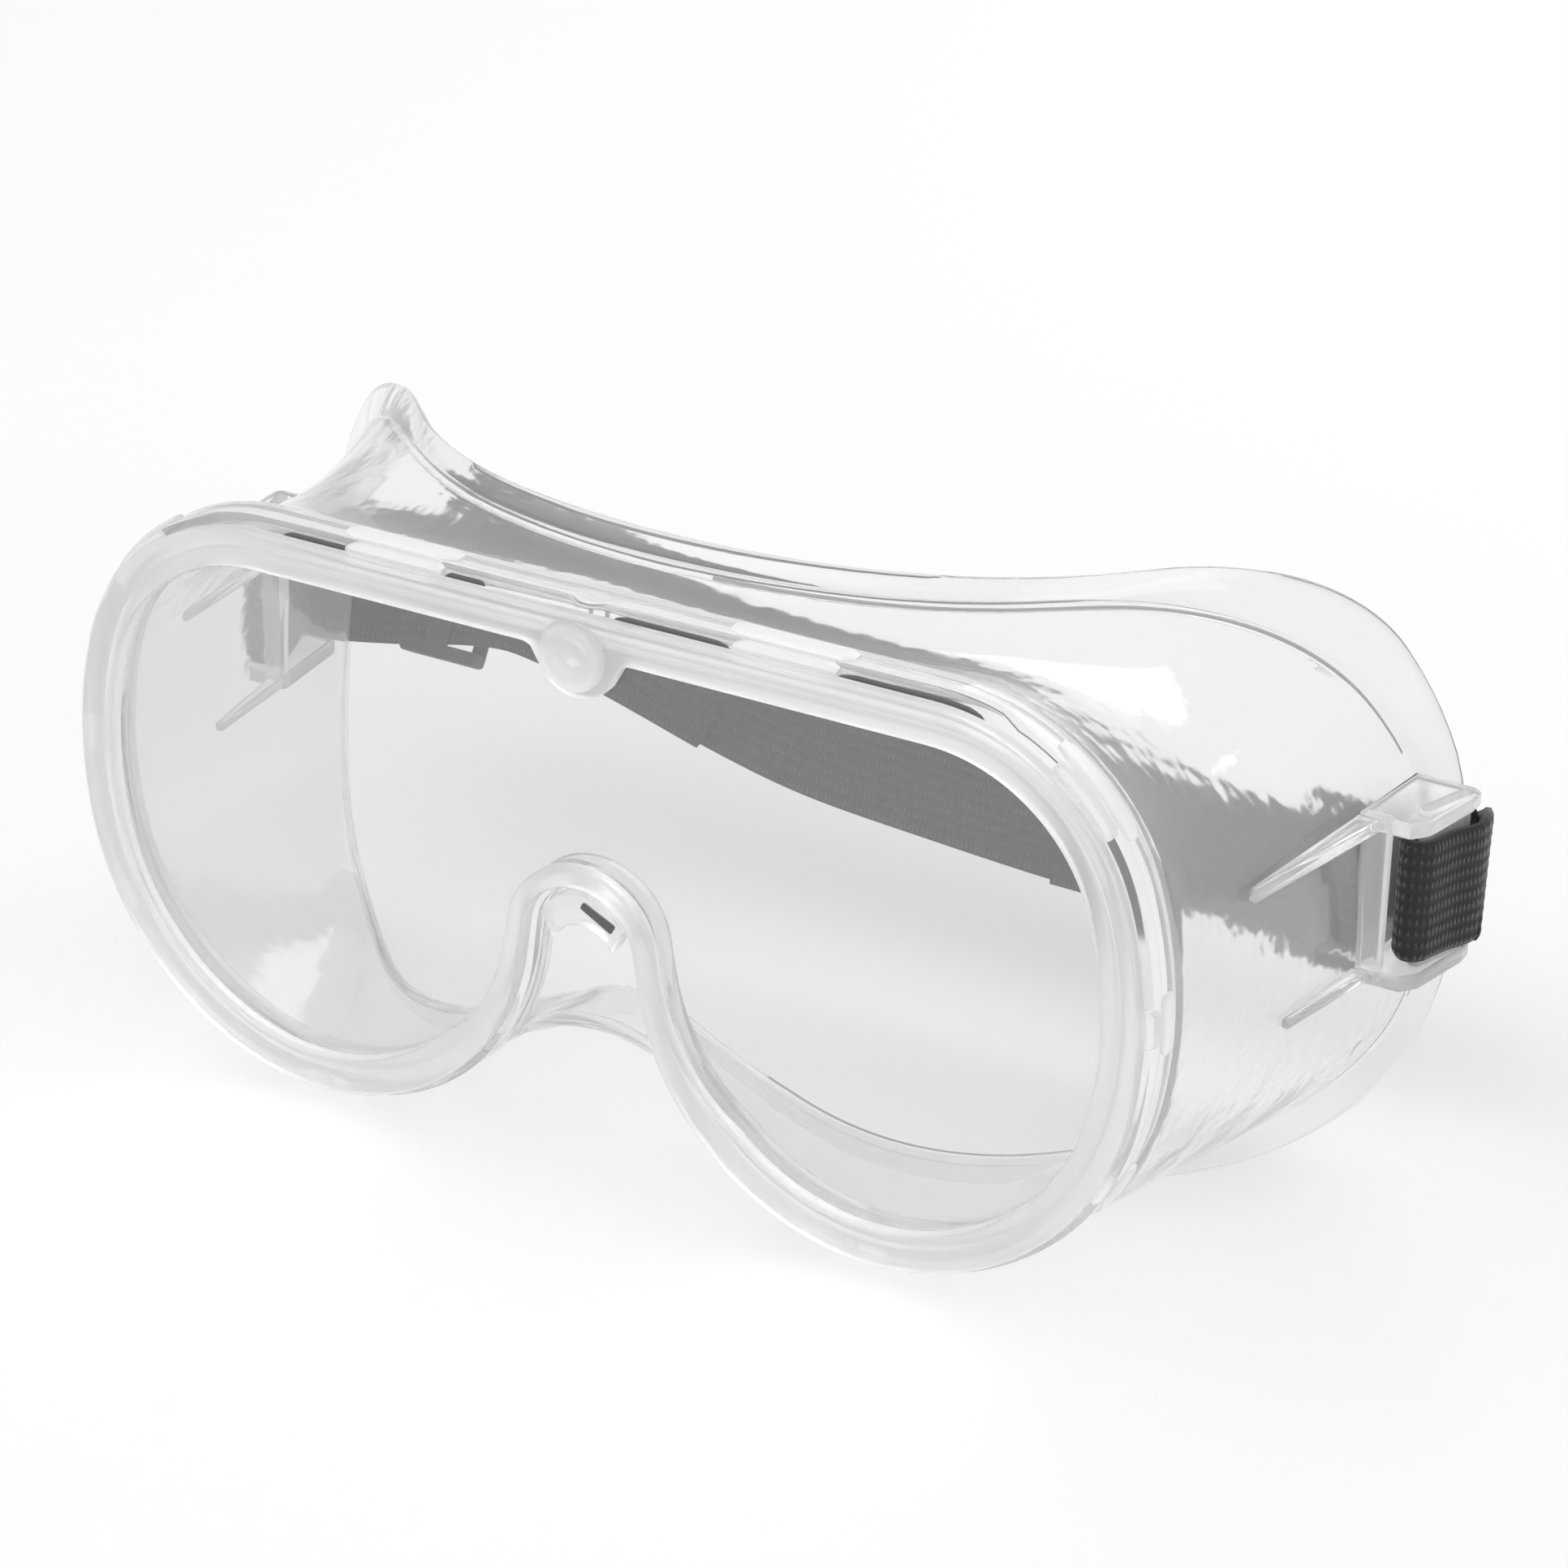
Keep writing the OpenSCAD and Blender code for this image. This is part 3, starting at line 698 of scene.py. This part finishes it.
bracket = joined(bracket_parts())
for name, part in (("left", bracket), ("right", mirror(bracket))):
    o = build("visual_bracket_" + name, *part, "mask", "clear_pvc", BRACKET, 40)
    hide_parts("bracket_" + name)

UPPER_RIB = 27
rib_parts = []
for z, length, width in ((-10.9, 18, 1.5), (11.6, UPPER_RIB, 2.0)):
    x = 85.4 + (UPPER_RIB - length) * 0.2
    rib = rounded([(x, BRACKET_Y - length), (x + 1.2, BRACKET_Y - length - 0.4), (91.9, BRACKET_Y + 0.3),
                   (88.4, BRACKET_Y + 0.3)], [0.3, 0.5, 0.4, 0.3], 3)
    rib_parts.append(slab(rib, z - width / 2, z + width / 2, 0.45, 3, "z"))
ribs = joined(rib_parts)
for name, part in (("left", ribs), ("right", mirror(ribs))):
    o = build("visual_bracket_ribs_" + name, *part, "mask", "clear_pvc", RIM_PVC, 40)
    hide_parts("bracket_ribs_" + name)


# ---------------------------------------------------------------- strap
STRAP_COLUMNS, STRAP_RIBS, RIDGE = 25, 12, 0.035
STRAP_W, STRAP_T = 18, 1.4
# the strap's middle line runs this far from the wide bar's
WRAP = 2.0
# X of each buckle; the photograph shows the wearer's right one further out
SLIDER_X = {1: 72, -1: 78}


def smooth_path(points, n):
    """A smooth curve through the points as n even steps, and the distance along it to each step."""
    q = np.asarray(points, float)
    q = np.concatenate([2 * q[:1] - q[1:2], q, 2 * q[-1:] - q[-2:-1]])
    out = []
    for i in range(1, len(q) - 2):
        for t in np.linspace(0, 1, 24, endpoint=False):
            p0, p1, p2, p3 = q[i - 1], q[i], q[i + 1], q[i + 2]
            out.append(0.5 * (2 * p1 + (p2 - p0) * t + (2 * p0 - 5 * p1 + 4 * p2 - p3) * t ** 2
                              + (3 * p1 - p0 - 3 * p2 + p3) * t ** 3))
    out.append(q[-2])
    out = np.array(out)
    s = distances(out[:, :3])
    t = np.linspace(0, s[-1], n)
    return np.stack([np.interp(t, s, out[:, k]) for k in range(out.shape[1])], -1), t


def ribbon(path, width, thick, n):
    """path holds x, y, z and the tilt in degrees of the strap's height from +Z towards +Y."""
    curve, s = smooth_path(path, n)
    pos, tilt = curve[:, :3], np.radians(curve[:, 3])
    tan = norm(np.gradient(pos, axis=0))
    up = np.stack([np.zeros(n), np.sin(tilt), np.cos(tilt)], -1)
    up = norm(up - np.sum(up * tan, -1, keepdims=True) * tan)
    out = norm(np.cross(tan, up))
    w = np.linspace(-0.5, 0.5, STRAP_COLUMNS)
    ridge = RIDGE * np.cos(w * 2 * math.pi * STRAP_RIBS)
    full = np.clip((0.5 - np.abs(w)) / 0.045, 0, 1) ** 0.5
    verts, uv = [], []
    for side in (1, -1):
        for j in range(STRAP_COLUMNS)[::side]:
            h = (thick / 2 * (0.35 + 0.65 * full[j]) + ridge[j] * full[j]) * side
            verts.append(pos + up * (w[j] * width) + out * h)
            uv.append(np.stack([s * MM, np.full(n, w[j] * width * MM)], -1))
    v, f = rings_to_mesh(verts, around_closed=False)
    return v, f, np.concatenate(uv)


def wrapped(slack, drop):
    """The strap's end round the wide bar; the slack bulges its outer layer forwards and out."""
    mid = (BAR_FRONT + BAR_BACK) / 2
    path = [BAR_BACK - BAR_OUT * WRAP + BAR_ALONG * 1.0, mid - BAR_OUT * WRAP, BAR_FRONT - BAR_OUT * WRAP]
    for angle in (200, 250, 290, 340):
        grow = slack * (0.5 - 0.5 * math.cos(rad((angle - 200) * 1.29)))
        path.append(BAR_FRONT + (WRAP + grow) * unit(angle))
    path += [BAR_FRONT + BAR_OUT * (WRAP + slack) + BAR_ALONG * 0.8, mid + BAR_OUT * (WRAP + slack * 0.6),
             np.array([100.5, 66.9]), np.array([100.7, 69.3])]
    return [(q[0], q[1], -drop, 0) for q in path]


# the strap's middle line as x, y, z and tilt: level behind the wearer's left, a dip near the right buckle
loop = wrapped(0.0, 0.1)
mirror_loop = [(-q[0], q[1], q[2], q[3]) for q in wrapped(1.8, 1.0)[::-1]]
near_side = [(99.8, 72.2, -1.1, 5), (97.9, 76.3, -3.2, 12), (94.9, 80.6, -6.4, 20), (90.0, 84.6, -10.4, 27),
             (83, 87.2, -14.4, 30), (74, 88, -16.8, 30), (60, 88, -17.8, 30), (45, 88, -18.0, 30), (30, 88, -17.9, 30),
             (10, 88, -16.8, 30), (-12, 88, -15.0, 30), (-29, 88, -11.4, 30), (-46, 88, -6.6, 30),
             (-57, 88, -4.3, 30), (-66, 88, -3.2, 30)]
far_side = [(-75, 88, -4.2, 30), (-83, 87.4, -5.8, 30), (-90.0, 84.8, -6.3, 27), (-94.9, 80.6, -5.6, 20),
            (-97.9, 76.3, -4.2, 12), (-99.8, 72.2, -2.6, 5)]
behind = near_side + far_side
v, f, uv = ribbon(loop + behind + mirror_loop, STRAP_W, STRAP_T, 560)
strap = build("visual_headband", v, f, None, "elastic_strap", STRAP, 60, uv)
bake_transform(strap)
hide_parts("headband", "strap_loop_left", "strap_loop_right")


LAYER_GAP = 1.7


def inner_tail(side):
    """The path of the doubled end, inside the strap by the gap between the layers' middle lines."""
    rows = [q for q in behind if q[0] * side > 20][::side]
    path = []
    for x, y, z, tilt in rows:
        if abs(x) < 99:
            lean = min(1, max(0, (abs(x) - 83) / 16)) ** 0.6
            path.append((x - side * LAYER_GAP * lean, y - LAYER_GAP * (1 - lean), z, tilt))
    return path


for side, name in ((1, "left"), (-1, "right")):
    v, f, uv = ribbon(inner_tail(side), STRAP_W - 0.4, STRAP_T - 0.1, 160)
    o = build("visual_strap_tail_" + name, v, f, "headband", "elastic_strap", STRAP, 60, uv)
    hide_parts("strap_tail_" + name)


def slider_parts():
    """Three bars between two rails, with X along the strap, Y through it and Z across it."""
    side_on = rounded([(-7, -3.2), (7, -3.2), (7, 1.9), (-7, 1.9)], [1.6, 1.6, 0.8, 0.8], 4)
    parts = [slab(side_on, z, z + 2.3, 0.8, 4, "z") for z in (-12.1, 9.8)]
    for x0, x1, y0, y1 in ((-6.8, -4.3, 1.0, 1.85), (4.3, 6.8, 1.0, 1.85), (-2, 2, -3.15, -2.45)):
        cross_bar = rounded([(x0, -11), (x1, -11), (x1, 11), (x0, 11)], 0.3, 3)
        parts.append(slab(cross_bar, y0, y1, 0.25, 3))
    return joined(parts)


def slider_at(x_at):
    """The slider laid on the strap where it passes that X."""
    curve, _ = smooth_path(behind, 600)
    x, y, z, tilt = curve[int(np.argmin(np.abs(curve[:, 0] - x_at)))]
    across, through = unit(90 - tilt), unit(-tilt)
    v, f = slider_parts()
    return np.array([x, y, z]) + v @ np.array([[1, 0, 0], [0, *through], [0, *across]]), f


for side, name in ((1, "slider_left"), (-1, "slider_right")):
    o = build("visual_" + name, *slider_at(side * SLIDER_X[side]), name, "buckle_plastic", BUCKLE, 35)
    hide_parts(name)

# ---------------------------------------------------------------- floor, light, camera
bpy.ops.mesh.primitive_circle_add(vertices=96, radius=4.0, fill_type="NGON", location=(0, 0, -0.0002))
floor = bpy.context.object
floor.name = "floor"
floor_mat, floor_nodes, floor_out = new_mat("pale_floor")
floor_shader = node(floor_nodes, "ShaderNodeBsdfPrincipled")
floor_shader.inputs["Base Color"].default_value = (0.93, 0.93, 0.93, 1)
floor_shader.inputs["Roughness"].default_value = 0.9
floor_shader.inputs["Specular IOR Level"].default_value = 0.1
floor_nodes.links.new(floor_shader.outputs[0], floor_out.inputs["Surface"])
floor.data.materials.append(floor_mat)

world = bpy.data.worlds.new("studio")
scene.world = world
world.use_nodes = True
background = world.node_tree.nodes["Background"]
background.inputs["Color"].default_value = (1, 1, 1, 1)
background.inputs["Strength"].default_value = 0.755


def softbox(name, where, size, power, target=(0, 0, 0.05)):
    """An area light that faces the goggles."""
    light = bpy.data.lights.new(name, "AREA")
    light.shape, light.size, light.size_y, light.energy = "RECTANGLE", size[0], size[1], power
    o = bpy.data.objects.new(name, light)
    o.location = where
    o.rotation_euler = (Vector(target) - Vector(where)).to_track_quat("-Z", "Y").to_euler()
    scene.collection.objects.link(o)


softbox("key", (-0.5, -0.55, 0.95), (1.3, 1.1), 3.4)
softbox("fill", (0.9, -0.5, 0.6), (0.6, 0.6), 1.7)
softbox("back", (0.1, 0.9, 0.8), (1.0, 0.4), 2.8)

# the view of the photograph: its azimuth, elevation and roll
az, el, roll = rad(30.315), rad(25.9), rad(0.737)
cam_back = np.array([math.sin(az) * math.cos(el), -math.cos(az) * math.cos(el), math.sin(el)])
level = np.array([math.cos(az), math.sin(az), 0])
upright = np.cross(cam_back, level)
cam_right = math.cos(roll) * level + math.sin(roll) * upright
cam_up = -math.sin(roll) * level + math.cos(roll) * upright
cam_data = bpy.data.cameras.new("camera")
cam_data.sensor_width, cam_data.lens = 36, 102.9
cam_data.clip_start, cam_data.clip_end = 0.01, 20
cam = bpy.data.objects.new("camera", cam_data)
cam.matrix_world = Matrix([*np.stack([cam_right, cam_up, cam_back, row([292.1, -445.1, 275.1])], -1), (0, 0, 0, 1)])
scene.collection.objects.link(cam)
scene.camera = cam

scene.view_settings.view_transform = "Standard"
scene.cycles.transparent_max_bounces = 64
scene.cycles.max_bounces = 40
scene.cycles.transmission_bounces = 36
scene.cycles.diffuse_bounces = 4
scene.cycles.glossy_bounces = 6
